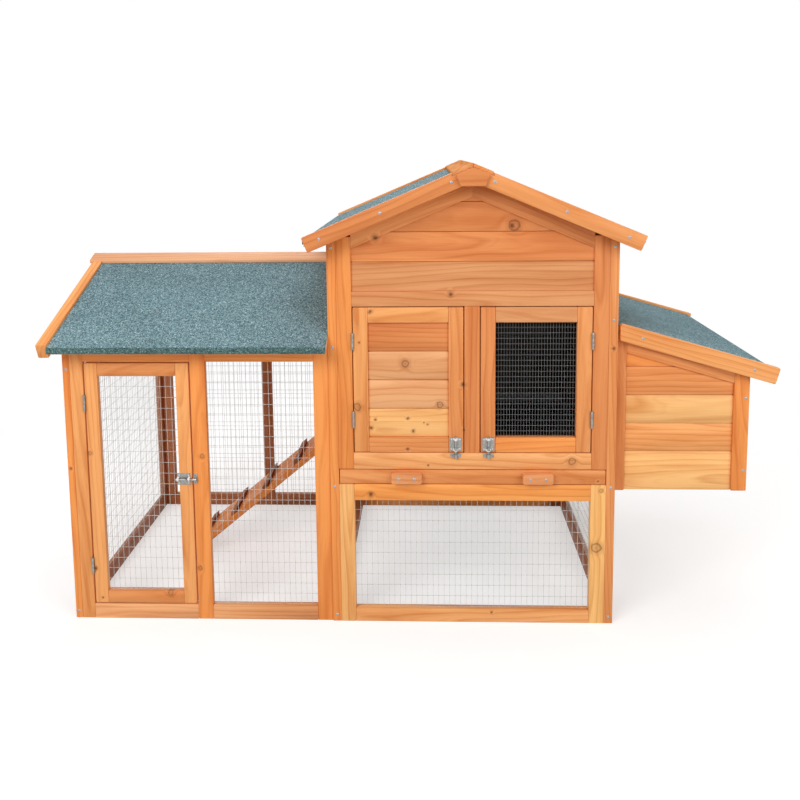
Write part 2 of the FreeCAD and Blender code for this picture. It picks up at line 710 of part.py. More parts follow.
def lower_mesh():
    """The mesh panels around the space under the house."""
    across = ("inner_left + stile", "inner_right - stile")
    inside = ("front + stile", "back - stile")
    up = ("base_rail", "ledger_low")
    node("lower_mesh_panels", [
        mesh_panel("lower_front_grid", "y", across, up, "front + front_thick / 2"),
        mesh_panel("lower_back_grid", "y", across, up, "back - front_thick / 2"),
        mesh_panel("lower_right_grid", "x", inside, up, "house_right - side_thick / 2")])


# ---- tray -------------------------------------------------------------------------------------

def tray():
    across = ("inner_left + tray_gap", "inner_right - tray_gap")
    node("tray_front", [board("tray_front_board", across, ("front", "front + tray_front_thick"),
                              ("tray_low + tray_gap", "sill_low - tray_gap"))])
    low = "tray_low + tray_lift"
    depth = ("front + tray_front_thick", "back - front_thick - pan_back_gap")
    outside = board("pan_outside", across, depth, (low, f"{low} + pan_tall"))
    inside = board("pan_inside", (f"{across[0]} + pan_wall", f"{across[1]} - pan_wall"),
                   (f"{depth[0]} + pan_wall", f"{depth[1]} - pan_wall"),
                   (f"{low} + pan_wall", f"{low} + pan_tall + cut_past"))
    node("tray_pan", [cut("pan", outside, inside)])
    handles, spots = [], []
    middle = "(tray_low + sill_low) / 2"
    for side in (-1, 1):
        centre = f"house_mid + ({side}) * handle_place"
        handles.append(board(f"tray_handle_{side + 1}",
                             (f"{centre} - handle_wide / 2", f"{centre} + handle_wide / 2"),
                             ("front - handle_deep", "front"),
                             (f"{middle} - handle_tall / 2", f"{middle} + handle_tall / 2")))
        for step in (-1, 1):
            spots.append((f"{centre} + ({step}) * handle_wide / 4", middle))
    node("tray_handles", handles)
    node("tray_handle_screws", screw_heads("tray_screw", "y", -1, "front - handle_deep", spots))
    rests = []
    for side, edge, far in (("left", "inner_left", "inner_left + runner_wide"),
                            ("right", "inner_right - runner_wide", "inner_right")):
        rests.append(board(f"tray_runner_{side}", (edge, far),
                           ("front + front_thick", "back - front_thick"),
                           ("tray_low - runner_tall", "tray_low")))
    node("tray_runners", rests)


# ---- hinges -----------------------------------------------------------------------------------

def hinge_leaf(name, plate, tabs, knuckles, bore):
    """One leaf of a hinge: its plate, with its rolled knuckles bored for the pin."""
    solid = fused(f"{name}_solid", [plate] + tabs + knuckles)
    return cut(name, solid, bore)


def door_hinge(name, gap_low, gap_high, face, centre, fixed_side):
    """A butt hinge with its leaves in the gap between a post and a door, knuckles in front."""
    axis = (f"({gap_low} + {gap_high}) / 2", f"{face} - knuckle_rad")
    low = f"{centre} - hinge_tall / 2"
    third = "hinge_tall / 3"
    plates = {-1: (gap_low, f"{gap_low} + leaf_thick"), 1: (f"{gap_high} - leaf_thick", gap_high)}
    leaves = []
    for tag, side, thirds in (("fixed", fixed_side, (0, 2)), ("moving", -fixed_side, (1,))):
        across = plates[side]
        deep = (f"{face} + knuckle_gap", f"{face} + leaf_wide")
        plate = board(f"{name}_{tag}_plate", across, deep, (low, f"{low} + hinge_tall"))
        tabs, knuckles = [], []
        for number in thirds:
            start = f"{low} + {number} * {third} + knuckle_gap / 2"
            tall = f"{third} - knuckle_gap"
            tabs.append(board(f"{name}_{tag}_tab_{number}", across, (axis[1], deep[0]),
                              (start, f"{start} + {tall}")))
            knuckles.append(rod(f"{name}_{tag}_knuckle_{number}", "z", (*axis, start),
                                "knuckle_rad", tall))
        bore = rod(f"{name}_{tag}_bore", "z", (*axis, f"{low} - cut_past"), "pin_rad + run_fit",
                   "hinge_tall + 2 * cut_past")
        leaves.append(hinge_leaf(f"{name}_{tag}_leaf", plate, tabs, knuckles, bore))
    pin = rod(f"{name}_pin", "z", (*axis, low), "pin_rad", "hinge_tall")
    return (*leaves, pin)


def lid_hinge(name, centre):
    """A butt hinge with its leaves in the gap between the house wall and the lid."""
    axis = ("house_right + lid_gap / 2", "lid_axis")
    low = f"{centre} - hinge_tall / 2"
    third = "hinge_tall / 3"
    plates = {"fixed": ("house_right", "house_right + leaf_thick"),
              "moving": ("house_right + lid_gap - leaf_thick", "house_right + lid_gap")}
    leaves = []
    for tag, thirds in (("fixed", (0, 2)), ("moving", (1,))):
        across = plates[tag]
        up = ("lid_axis - leaf_wide", "lid_axis - knuckle_rad - knuckle_gap")
        plate = board(f"{name}_{tag}_plate", across, (low, f"{low} + hinge_tall"), up)
        tabs, knuckles = [], []
        for number in thirds:
            start = f"{low} + {number} * {third} + knuckle_gap / 2"
            long = f"{third} - knuckle_gap"
            tabs.append(board(f"{name}_{tag}_tab_{number}", across, (start, f"{start} + {long}"),
                              (up[1], "lid_axis")))
            knuckles.append(rod(f"{name}_{tag}_knuckle_{number}", "y", (axis[0], start, axis[1]),
                                "knuckle_rad", long))
        bore = rod(f"{name}_{tag}_bore", "y", (axis[0], f"{low} - cut_past", axis[1]),
                   "pin_rad + run_fit", "hinge_tall + 2 * cut_past")
        leaves.append(hinge_leaf(f"{name}_{tag}_leaf", plate, tabs, knuckles, bore))
    pin = rod(f"{name}_pin", "y", (axis[0], low, axis[1]), "pin_rad", "hinge_tall")
    return (*leaves, pin)


def hinges():
    fixed_leaves, pins = [], []
    house_levels = (f"{DOOR_LOW} + hinge_inset", f"{DOOR_HIGH} - hinge_inset")
    run_levels = (f"{RUN_DOOR_LOW} + run_hinge_inset", "run_door_top - run_hinge_inset")
    for door, gap, face, levels, fixed_side in (
            ("left_door", (f"{LEFT_DOOR[0]} - door_gap", LEFT_DOOR[0]), "front", house_levels,
             -1),
            ("right_door", (RIGHT_DOOR[1], f"{RIGHT_DOOR[1]} + door_gap"), "front",
             house_levels, 1),
            ("run_door", (f"{RUN_DOOR[0]} - run_door_gap", RUN_DOOR[0]), "run_front",
             run_levels, -1)):
        moving_leaves = []
        for number, centre in enumerate(levels):
            fixed, moving, pin = door_hinge(f"{door}_hinge_{number}", *gap, face, centre,
                                            fixed_side)
            fixed_leaves.append(fixed)
            moving_leaves.append(moving)
            pins.append(pin)
        node(f"{door}_hinge_leaves", moving_leaves)
    lid_leaves = []
    for number, side in enumerate((-1, 1)):
        fixed, moving, pin = lid_hinge(f"lid_hinge_{number}",
                                       f"middle + ({side}) * lid_hinge_place")
        fixed_leaves.append(fixed)
        lid_leaves.append(moving)
        pins.append(pin)
    node("lid_hinge_leaves", lid_leaves)
    node("frame_hinge_leaves", fixed_leaves)
    node("hinge_pins", pins)


# ---- bolts ------------------------------------------------------------------------------------

def bolt(door, axis, edge, toward, cross, face):
    """A small barrel bolt: a plate with two guides on a door, a rod, and a keeper beside it.

    The rod runs along the axis, out past the door's edge toward -1 or +1, and cross is the place
    of its centre line on the other axis.
    """
    def block(name, along, half, deep):
        length = sorted((f"{edge} + ({toward}) * ({reach})" for reach in along), key=value)
        width = (f"{cross} - {half}", f"{cross} + {half}")
        across, up = (length, width) if axis == "x" else (width, length)
        return board(name, across, deep, up)

    def bar(name, along, radius):
        low, high = sorted((f"{edge} + ({toward}) * ({reach})" for reach in along), key=value)
        start = (low, line, cross) if axis == "x" else (cross, line, low)
        return rod(name, axis, start, radius, f"({high}) - ({low})")

    line = f"{face} - plate_thick - guide_deep / 2"
    on_face = (f"{face} - plate_thick", face)
    on_plate = (f"{face} - plate_thick - guide_deep", f"{face} - plate_thick")
    inner, outer = "-plate_edge - plate_tall", "-plate_edge"
    plate = [block(f"{door}_plate", (inner, outer), "plate_wide / 2", on_face)]
    for tag, low, high in (("near", f"{outer} - guide_tall", outer),
                           ("far", inner, f"{inner} + guide_tall")):
        guide = block(f"{door}_guide_{tag}_block", (low, high), "guide_wide / 2", on_plate)
        hole = bar(f"{door}_guide_{tag}_hole", (f"{low} - cut_past", f"{high} + cut_past"),
                   "rod_rad + run_fit")
        plate.append(cut(f"{door}_guide_{tag}", guide, hole))
    node(f"{door}_bolt_plate", plate)
    shank = bar(f"{door}_bolt_shank",
                (f"{inner} - rod_tail", "keeper_start + keeper_tall - rod_short"), "rod_rad")
    knob_place = f"{edge} + ({toward}) * ({outer} - guide_tall - lever_rad - lever_gap)"
    spot = (knob_place, cross) if axis == "x" else (cross, knob_place)
    lever = rod(f"{door}_bolt_lever", "y", (spot[0], f"{line} - lever_long", spot[1]),
                "lever_rad", "lever_long")
    knob = rod(f"{door}_bolt_knob", "y", (spot[0], f"{line} - lever_long", spot[1]),
               "knob_rad", "knob_long")
    node(f"{door}_bolt", [fused(f"{door}_bolt_solid", [shank, lever, knob])])
    keeper = block(f"{door}_keeper_block", ("keeper_start", "keeper_start + keeper_tall"),
                   "keeper_wide / 2", (on_plate[0], face))
    hole = bar(f"{door}_keeper_hole",
               ("keeper_start - cut_past", "keeper_start + keeper_tall + cut_past"),
               "rod_rad + keeper_play")
    return cut(f"{door}_keeper", keeper, hole)


def bolts():
    node("bolt_keepers", [
        bolt("left_door", "z", DOOR_LOW, -1, f"{LEFT_DOOR[1]} - plate_edge - plate_wide / 2",
             "front"),
        bolt("right_door", "z", DOOR_LOW, -1, f"{RIGHT_DOOR[0]} + plate_edge + plate_wide / 2",
             "front"),
        bolt("run_door", "x", "door_end", 1, "latch_place", "run_front")])


# ---- screws -----------------------------------------------------------------------------------

def frame_screws():
    edge = "side_thick / 2"
    heads = []
    for side, x, high in (("left", f"house_left + {edge}", "screw_high_left"),
                          ("right", f"house_right - {edge}", "screw_high_right")):
        spots = [(x, level) for level in ("base_rail / 2", "tray_low - ledger_screw_drop", high,
                                          "house_top - screw_drop")]
        heads += screw_heads(f"house_screw_{side}", "y", -1, "front", spots)
    spots = []
    for side in (-1, 1):
        for place in ("barge_screw_near", "barge_screw_middle", "barge_screw_far"):
            spots.append((f"house_mid + ({side}) * {place}",
                          f"apex - roof_slope * {place}"
                          " - (barge_tall - barge_proud) * slant / 2"))
    heads += screw_heads("barge_screw", "y", -1, "front - overhang", spots)
    spots = [("run_left + run_thick / 2", level) for level in
             ("run_rail / 2", "rail_high - run_rail / 2")]
    heads += screw_heads("run_screw", "y", -1, "run_front", spots)
    spots = [("nest_right - nest_thick / 2", level) for level in
             ("nest_bottom + screw_drop * 2", "nest_bottom + nest_screw_high")]
    heads += screw_heads("nest_screw", "y", -1, "nest_front", spots)
    node("frame_screws", heads)
    spots = [(f"house_right + {place}",
              f"lid_top - lid_slope * {place}"
              " - (lid_barge_tall - barge_proud) * lid_slant / 2")
             for place in ("lid_screw_near", "nest_length")]
    node("lid_screws", screw_heads("lid_screw", "y", -1, "lid_front", spots))


def write_parts():
    """Check every object and sub-part, then write one file for each."""
    for item in doc.Objects:
        if "Invalid" in item.State or "Error" in item.State:
            raise RuntimeError(f"{item.Label} failed: {item.State}")
    for item in nodes:
        if item.Shape.isNull() or not item.Shape.isValid() or not item.Shape.Solids:
            raise RuntimeError(f"{item.Label} has no valid shape")
    os.makedirs("parts", exist_ok=True)
    for item in nodes:
        item.Shape.exportStep(f"parts/{item.Label}.step")
    print(len(nodes), "sub-parts,", sum(len(item.Shape.Solids) for item in nodes), "solids")


sheet = make_sheets()
house_walls()
gable_rails()
house_roof()
run_walls()
run_gable_planks()
run_roof()
ramp()
nest_box()
lid()
doors()
lower_mesh()
tray()
hinges()
bolts()
frame_screws()
doc.recompute()
write_parts()
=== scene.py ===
import math
import random

import bmesh
import bpy
import numpy as np
from mathutils import Matrix, Vector


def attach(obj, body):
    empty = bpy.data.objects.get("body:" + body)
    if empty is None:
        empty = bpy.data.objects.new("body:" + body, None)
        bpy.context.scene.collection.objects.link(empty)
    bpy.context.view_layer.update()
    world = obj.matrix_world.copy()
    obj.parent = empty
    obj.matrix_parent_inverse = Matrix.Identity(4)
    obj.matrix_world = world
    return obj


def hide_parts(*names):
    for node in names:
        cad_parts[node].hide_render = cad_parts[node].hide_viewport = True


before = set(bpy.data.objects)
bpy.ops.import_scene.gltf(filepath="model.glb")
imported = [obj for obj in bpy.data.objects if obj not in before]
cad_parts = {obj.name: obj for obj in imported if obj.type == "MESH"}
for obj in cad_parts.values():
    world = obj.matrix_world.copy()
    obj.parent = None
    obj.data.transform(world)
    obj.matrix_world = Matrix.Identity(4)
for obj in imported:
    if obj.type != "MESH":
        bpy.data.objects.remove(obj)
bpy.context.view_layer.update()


# ---- studio -----------------------------------------------------------------------------------
# A pale seamless floor under soft, even light. The floor and the world look white to the eye
# and in polished metal, and the floor keeps the hutch's shadow.

def empty_tree(tree):
    """Clears a node tree, and gives a helper that adds a node to it and wires its inputs."""
    tree.nodes.clear()

    def add(kind, inputs=None, **settings):
        node = tree.nodes.new(f"ShaderNode{kind}")
        for key, setting in settings.items():
            setattr(node, key, setting)
        for key, source in (inputs or {}).items():
            if isinstance(source, bpy.types.NodeSocket):
                tree.links.new(source, node.inputs[key])
            else:
                node.inputs[key].default_value = source
        return node
    return add


def new_material(name):
    """A material, and the helper that adds nodes to it."""
    material = bpy.data.materials.new(name)
    material.use_nodes = True
    return material, empty_tree(material.node_tree)


def colour(red, green, blue):
    """A colour given as on a paint chart, 0 to 255, made linear for a shader."""
    def linear(part):
        part /= 255
        return part / 12.92 if part <= 0.04045 else ((part + 0.055) / 1.055) ** 2.4
    return (linear(red), linear(green), linear(blue), 1)


def deselect():
    """Leaves edit mode, and selects nothing."""
    if bpy.context.object and bpy.context.object.mode != "OBJECT":
        bpy.ops.object.mode_set(mode="OBJECT")
    bpy.ops.object.select_all(action="DESELECT")


floor_size, floor_drop = 60, 0.0005
shadow_reach, white_from = 1.15, 1.9
deselect()
bpy.ops.mesh.primitive_plane_add(size=floor_size, location=(0, 0, -floor_drop))
floor = bpy.context.object
floor.name = "floor"
floor_paint, add = new_material("pale_floor")
path = add("LightPath")
seen = add("Math", {0: path.outputs["Is Camera Ray"], 1: path.outputs["Is Glossy Ray"]},
           operation="MAXIMUM")
seen = add("Math", {0: seen.outputs[0], 1: path.outputs["Is Transmission Ray"]},
           operation="MAXIMUM")
spot = add("TexCoord")
middle = add("VectorMath", {0: spot.outputs["Object"]}, operation="LENGTH")
away = add("MapRange", {"Value": middle.outputs["Value"], "From Min": shadow_reach,
                        "From Max": white_from}, interpolation_type="SMOOTHSTEP")
away = add("Math", {0: away.outputs[0], 1: seen.outputs[0]}, operation="MULTIPLY")
fleck = add("TexNoise", {"Vector": spot.outputs["Object"], "Scale": 40, "Detail": 3})
shade = add("MapRange", {"Value": fleck.outputs["Fac"], "To Min": 0.6, "To Max": 0.64})
matt = add("BsdfDiffuse", {"Color": shade.outputs[0]})
lift = add("Math", {0: seen.outputs[0], 1: 0.5}, operation="MULTIPLY")
lift = add("Emission", {"Color": (1, 1, 1, 1), "Strength": lift.outputs[0]})
near_floor = add("AddShader", {0: matt.outputs[0], 1: lift.outputs[0]})
far_floor = add("Emission", {"Color": (1, 1, 1, 1), "Strength": 1.0})
both = add("MixShader", {0: away.outputs[0], 1: near_floor.outputs[0], 2: far_floor.outputs[0]})
add("OutputMaterial", {"Surface": both.outputs[0]})
floor.data.materials.append(floor_paint)

world = bpy.data.worlds.new("studio")
bpy.context.scene.world = world
world.use_nodes = True
add = empty_tree(world.node_tree)
path = add("LightPath")
seen = add("Math", {0: path.outputs["Is Camera Ray"], 1: path.outputs["Is Transmission Ray"]},
           operation="MAXIMUM")
seen = add("Math", {0: seen.outputs[0], 1: path.outputs["Is Glossy Ray"]}, operation="MAXIMUM")
glow = add("MapRange", {"Value": seen.outputs[0], "To Min": 0.4, "To Max": 1})
glow = add("Background", {"Color": (1, 1, 1, 1), "Strength": glow.outputs[0]})
add("OutputWorld", {"Surface": glow.outputs[0]})

softboxes = (("key", (-1.9, -3.2, 2.9), 2.2, 90), ("fill", (2.6, -2.8, 1.9), 2.2, 48),
             ("top", (0.2, 0.2, 3.6), 2.4, 28), ("rear", (-0.4, 3.4, 2.4), 2.4, 40))
aim = Vector((0, 0, 0.5))
for name, place, size, power in softboxes:
    lamp = bpy.data.lights.new(f"softbox_{name}", "AREA")
    lamp.shape = "SQUARE"
    lamp.size = size
    lamp.energy = power
    holder = bpy.data.objects.new(f"softbox_{name}", lamp)
    bpy.context.scene.collection.objects.link(holder)
    holder.location = place
    holder.rotation_euler = (aim - Vector(place)).to_track_quat("-Z", "Y").to_euler()
    holder.visible_camera = False

# the camera stands in front, as high as the ridge, and looks a little down
eye = Vector((0.0531, -2.1481, 1.0737))
yaw, pitch, roll = (math.radians(turn) for turn in (-2.04, 6.74, -0.55))
ahead = Vector((math.sin(yaw) * math.cos(pitch), math.cos(yaw) * math.cos(pitch),
                -math.sin(pitch)))
level = Vector((math.cos(yaw), -math.sin(yaw), 0))
upright = level.cross(ahead)
right = math.cos(roll) * level + math.sin(roll) * upright
upward = math.cos(roll) * upright - math.sin(roll) * level
view = Matrix((right, upward, -ahead)).transposed()
lens = bpy.data.cameras.new("camera")
lens.sensor_width = 36
lens.lens = 37.78
lens.shift_y = -0.185
camera = bpy.data.objects.new("camera", lens)
bpy.context.scene.collection.objects.link(camera)
camera.matrix_world = Matrix.Translation(eye) @ view.to_4x4()
bpy.context.scene.camera = camera
bpy.context.scene.view_settings.view_transform = "Standard"


# ---- house framing ----------------------------------------------------------------------------
# Planed fir stiles and rails, screwed together at the corners and dipped in an orange wood
# stain. Each board is its own stick: it has its own tone, its own grain and eased edges.

def shells(node):
    """The closed solids of a CAD node, each as its own list of corner triples."""
    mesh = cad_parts[node].data
    mesh.calc_loop_triangles()
    corners = [tuple(round(part * 1e5) / 1e5 for part in vertex.co) for vertex in mesh.vertices]
    solids, current, unmatched = [], [], set()
    for triangle in mesh.loop_triangles:
        points = [corners[index] for index in triangle.vertices]
        current.append(points)
        for start, end in zip(points, points[1:] + points[:1]):
            if (end, start) in unmatched:
                unmatched.remove((end, start))
            else:
                unmatched.add((start, end))
        if not unmatched:
            solids.append(current)
            current = []
    return solids


def board_frame(solid):
    """The centre of a board, and its directions along, across and through."""
    faces, edges = {}, {}
    for points in solid:
        a, b, c = (Vector(point) for point in points)
        normal = (b - a).cross(c - a)
        key = tuple(abs(round(part, 2)) for part in normal.normalized())
        faces.setdefault(key, [0, normal.normalized()])[0] += normal.length
        for start, end in ((a, b), (b, c), (c, a)):
            key = tuple(sorted((tuple(start), tuple(end))))
            edges.setdefault(key, []).append(normal.normalized())
    through = max(faces.values(), key=lambda entry: entry[0])[1]
    # a line across a flat face is no edge of the board: an edge's two faces meet at an angle
    ways = [Vector(end) - Vector(start) for (start, end), normals in edges.items()
            if len(normals) == 2 and normals[0].dot(normals[1]) < 0.99]
    ways = [way for way in ways if abs(way.normalized().dot(through)) < 0.02]
    along = max(ways, key=lambda way: way.length).normalized()
    centre = sum((Vector(point) for points in solid for point in points), Vector())
    return centre / (3 * len(solid)), along, through.cross(along).normalized(), through


def fit_piece(piece, node, body, paint):
    """Gives a finished piece its material and its place in the assembly."""
    piece.data.materials.clear()
    piece.data.materials.append(paint)
    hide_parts(node)
    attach(piece, body)


def carve_boards(name, node, body, paint, edge=0.0016, stains_and_shades=((1, 1, 1, 1),), only=None):
    """Copies each solid of a CAD node as a stick, eases its edges, and lays grain and a colour per
    board: its stain, and on boards in shade a painted shade.
    """
    solids = shells(node)[:only]
    form = bmesh.new()
    number_layer = form.verts.layers.int.new("board_number")
    for number, solid in enumerate(solids):
        seen_corners = {}
        for points in solid:
            face = []
            for point in points:
                if point not in seen_corners:
                    seen_corners[point] = form.verts.new(point)
                    seen_corners[point][number_layer] = number
                face.append(seen_corners[point])
            form.faces.new(face)
    bmesh.ops.dissolve_limit(form, angle_limit=math.radians(0.5), verts=form.verts,
                             edges=form.edges, delimit={"NORMAL"})
    mesh = bpy.data.meshes.new(name)
    form.to_mesh(mesh)
    form.free()
    piece = bpy.data.objects.new(name, mesh)
    bpy.context.scene.collection.objects.link(piece)
    deselect()
    piece.select_set(True)
    bpy.context.view_layer.objects.active = piece
    ease = piece.modifiers.new("eased_edges", "BEVEL")
    ease.width = edge
    ease.segments = 2
    ease.limit_method = "ANGLE"
    ease.angle_limit = math.radians(30)
    bpy.ops.object.modifier_apply(modifier=ease.name)
    bpy.ops.object.shade_smooth_by_angle(angle=math.radians(40))
    dice = random.Random(name)
    numbers = np.zeros(len(piece.data.vertices), np.int32)
    piece.data.attributes["board_number"].data.foreach_get("value", numbers)
    places = np.zeros((len(numbers), 3), np.float32)
    piece.data.vertices.foreach_get("co", places.ravel())
    grain = np.zeros((len(numbers), 3), np.float32)
    tints = np.ones((len(numbers), 4), np.float32)
    for number, solid in enumerate(solids):
        centre, along, across, through = board_frame(solid)
        mine = numbers == number
        local = places[mine] - np.array(centre)
        run = local @ np.array(along)
        lean = dice.uniform(-0.05, 0.05)
        grain[mine] = np.stack([
            run + dice.uniform(-40, 40),
            local @ np.array(across) + dice.uniform(-0.05, 0.05),
            local @ np.array(through) + dice.uniform(0.012, 0.07) * dice.choice((-1, 1))
            + lean * run], 1)
        tints[mine, :3] = np.array(stains_and_shades[number % len(stains_and_shades)][:3]) * dice.uniform(0.96, 1.04)
    piece.data.attributes.new("grain", "FLOAT_VECTOR", "POINT").data.foreach_set(
        "vector", grain.ravel())
    piece.data.attributes.new("stain_and_shade", "FLOAT_COLOR", "POINT").data.foreach_set(
        "color", tints.ravel())
    fit_piece(piece, node, body, paint)
    return piece


# the room in the house, by its middle and by its half sizes: the wood inside it gets a painted
# shade
shaded_room_middle, shaded_room_half = (0.146, 0.0065, 0.6), (0.3055, 0.3135, 0.262)


def fir(name, streak, knot, gloss, shine=0.3, dark_knots=(), ring_knots=()):
    """Planed fir: growth rings cut by the board's face, fine fibres, and knots.

    Each board's colour is its own stain and, on boards in shade, a painted shade; a painted shade
    also darkens the wood inside the closed house. A knot is given as its place and its radius, in
    mm.
    """
    material, add = new_material(name)
    place = add("Attribute", attribute_name="grain").outputs["Vector"]
    stain_and_shade = add("Attribute", attribute_name="stain_and_shade").outputs["Color"]
    true_spot = add("TexCoord").outputs["Object"]
    # knots are seldom round
    wobble = add("TexNoise", {"Vector": true_spot, "Scale": 75, "Detail": 2})
    wobble = add("VectorMath", {0: wobble.outputs["Color"], 1: (0.5, 0.5, 0.5)},
                 operation="SUBTRACT")
    spot = add("VectorMath", {0: wobble.outputs[0], 1: (0.007, 0.007, 0.007), 2: true_spot},
               operation="MULTIPLY_ADD").outputs[0]

    def nearest(knots):
        """How far the nearest knot's middle lies, in radii of that knot."""
        found = None
        for x, y, z, radius in knots:
            gap = add("VectorMath", {0: spot, 1: (x / 1000, y / 1000, z / 1000)},
                      operation="SUBTRACT")
            gap = add("VectorMath", {0: gap.outputs[0],
                                     1: (1000 / radius, 120 / radius, 1000 / radius)},
                      operation="MULTIPLY")
            gap = add("VectorMath", {0: gap.outputs[0]}, operation="LENGTH").outputs["Value"]
            found = gap if found is None else add("Math", {0: found, 1: gap},
                                                  operation="MINIMUM").outputs[0]
        return found

    def grey_bands(source, levels):
        """A ramp through greys, each given as its place and its level."""
        bands = add("ValToRGB", {"Fac": source})
        steps = bands.color_ramp.elements
        steps[0].position, steps[1].position = levels[0][0], levels[-1][0]
        for position, level in levels[1:-1]:
            steps.new(position)
        for step, (position, level) in zip(steps, levels):
            step.color = (level, level, level, 1)
        return bands.outputs["Color"]

    # small chance knots, few and far apart, and none at the front, where each knot is listed
    cells = add("TexVoronoi", {"Vector": place, "Scale": 7}, voronoi_dimensions="2D")
    draw = add("SeparateColor", {"Color": cells.outputs["Color"]})
    none = add("Math", {0: draw.outputs["Red"], 1: 0.1}, operation="GREATER_THAN")
    front = add("SeparateXYZ", {0: true_spot})
    front = add("Math", {0: front.outputs["Y"], 1: -0.29}, operation="LESS_THAN")
    none = add("Math", {0: none.outputs[0], 1: front.outputs[0]}, operation="MAXIMUM")
    chance = add("Math", {0: cells.outputs["Distance"], 1: 28}, operation="MULTIPLY")
    chance = add("Math", {0: none.outputs[0], 1: 50, 2: chance.outputs[0]},
                 operation="MULTIPLY_ADD").outputs[0]
    if dark_knots:
        dark = add("Math", {0: nearest(dark_knots), 1: chance}, operation="MINIMUM").outputs[0]
        ring = nearest(ring_knots)
    else:
        dark = ring = chance
    any_knot = add("Math", {0: dark, 1: ring}, operation="MINIMUM")
    swirl = add("MapRange", {"Value": any_knot.outputs[0], "From Min": 0.2, "From Max": 3.6,
                             "To Min": 0.006, "To Max": 0}, interpolation_type="SMOOTHERSTEP")
    # the rings, seen as lines and long flames on the board's face
    sway = add("VectorMath", {0: place, 1: (2.2, 14, 14)}, operation="MULTIPLY")
    sway = add("TexNoise", {"Vector": sway.outputs[0], "Scale": 1, "Detail": 2})
    sway = add("Math", {0: sway.outputs["Fac"], 1: 0.5}, operation="SUBTRACT")
    ends = add("SeparateXYZ", {0: place})
    section = add("CombineXYZ", {"X": 0.0, "Y": ends.outputs["Y"], "Z": ends.outputs["Z"]})
    reach = add("VectorMath", {0: section.outputs[0]}, operation="LENGTH")
    reach = add("Math", {0: sway.outputs[0], 1: 0.036, 2: reach.outputs["Value"]},
                operation="MULTIPLY_ADD")
    reach = add("Math", {0: reach.outputs[0], 1: swirl.outputs[0]}, operation="ADD").outputs[0]

    def ringed(spacing, pale, middling, deep):
        """Year rings at a spacing: each deepens slowly and ends soon after its deepest."""
        turns = add("Math", {0: reach, 1: 1 / spacing}, operation="MULTIPLY")
        turns = add("Math", {0: turns.outputs[0]}, operation="FRACT")
        return grey_bands(turns.outputs[0], ((0, pale), (0.5, middling), (0.84, deep),
                                             (0.93, 0.5), (1, pale)))

    wide = ringed(0.0105, 0.08, 0.3, 1.0)
    fine = ringed(0.0034, 0.1, 0.3, 0.9)
    # fibres drawn out along the board
    fibre = add("VectorMath", {0: place, 1: (9, 420, 420)}, operation="MULTIPLY")
    fibre = add("TexNoise", {"Vector": fibre.outputs[0], "Scale": 1, "Detail": 3,
                             "Roughness": 0.6})
    broad = add("VectorMath", {0: place, 1: (2.6, 34, 34)}, operation="MULTIPLY")
    broad = add("TexNoise", {"Vector": broad.outputs[0], "Scale": 1, "Detail": 2})
    # from pale early wood to deep stained late wood
    depth = add("Math", {0: wide, 1: streak}, operation="MULTIPLY")
    depth = add("Math", {0: fine, 1: streak * 0.38, 2: depth.outputs[0]},
                operation="MULTIPLY_ADD")
    ease = add("MapRange", {"Value": fibre.outputs["Fac"], "From Min": 0.3, "From Max": 0.7,
                            "To Min": -0.1, "To Max": 0.12})
    cloud = add("MapRange", {"Value": broad.outputs["Fac"], "From Min": 0.3, "From Max": 0.7,
                             "To Min": -0.34, "To Max": 0.42})
    depth = add("Math", {0: depth.outputs[0], 1: ease.outputs[0]}, operation="ADD")
    depth = add("Math", {0: depth.outputs[0], 1: cloud.outputs[0]}, operation="ADD",
                use_clamp=True)
    # the closed house is nearly black inside, behind its doors: a painted shade that darkens the
    # stain of every board face within the room
    room = add("VectorMath", {0: true_spot, 1: shaded_room_middle}, operation="SUBTRACT")
    room = add("VectorMath", {0: room.outputs[0]}, operation="ABSOLUTE")
    room = add("SeparateXYZ", {0: room.outputs[0]})
    within = add("Math", {0: room.outputs["X"], 1: shaded_room_half[0]}, operation="LESS_THAN")
    for axis, half in zip("YZ", shaded_room_half[1:]):
        near = add("Math", {0: room.outputs[axis], 1: half}, operation="LESS_THAN")
        within = add("Math", {0: within.outputs[0], 1: near.outputs[0]}, operation="MULTIPLY")
    painted_room_shade = add("MapRange", {"Value": within.outputs[0], "To Min": 1, "To Max": 0.06})
    stain_and_shade = add("VectorMath", {0: stain_and_shade, 1: painted_room_shade.outputs[0]}, operation="MULTIPLY").outputs[0]
    early = add("VectorMath", {0: stain_and_shade, 1: (1.1, 1.18, 1.3)}, operation="MULTIPLY")
    late = add("VectorMath", {0: stain_and_shade, 1: (0.8, 0.62, 0.46)}, operation="MULTIPLY")
    wood = add("Mix", {"Factor": depth.outputs[0], 6: early.outputs[0], 7: late.outputs[0]},
               data_type="RGBA")
    core = add("Math", {0: dark, 1: 0.5}, operation="MULTIPLY")
    core = grey_bands(core.outputs[0], ((0, 0.95), (0.26, 0.8), (0.5, 0.32), (1, 0)))
    loop = add("Math", {0: ring, 1: 0.5}, operation="MULTIPLY")
    loop = grey_bands(loop.outputs[0], ((0, 0.6), (0.13, 0.22), (0.34, 0.3), (0.46, 0.72),
                                        (0.56, 0.2), (1, 0)))
    knotted = add("Math", {0: core, 1: loop}, operation="MAXIMUM")
    skin_colour = add("Mix", {"Factor": knotted.outputs[0], 6: wood.outputs[2], 7: knot},
                      data_type="RGBA")
    raised = add("Math", {0: fibre.outputs["Fac"], 1: wide}, operation="ADD")
    bump = add("Bump", {"Height": raised.outputs[0], "Strength": 0.2, "Distance": 0.0005})
    rough = add("MapRange", {"Value": fibre.outputs["Fac"], "To Min": gloss - 0.1,
                             "To Max": gloss + 0.12})
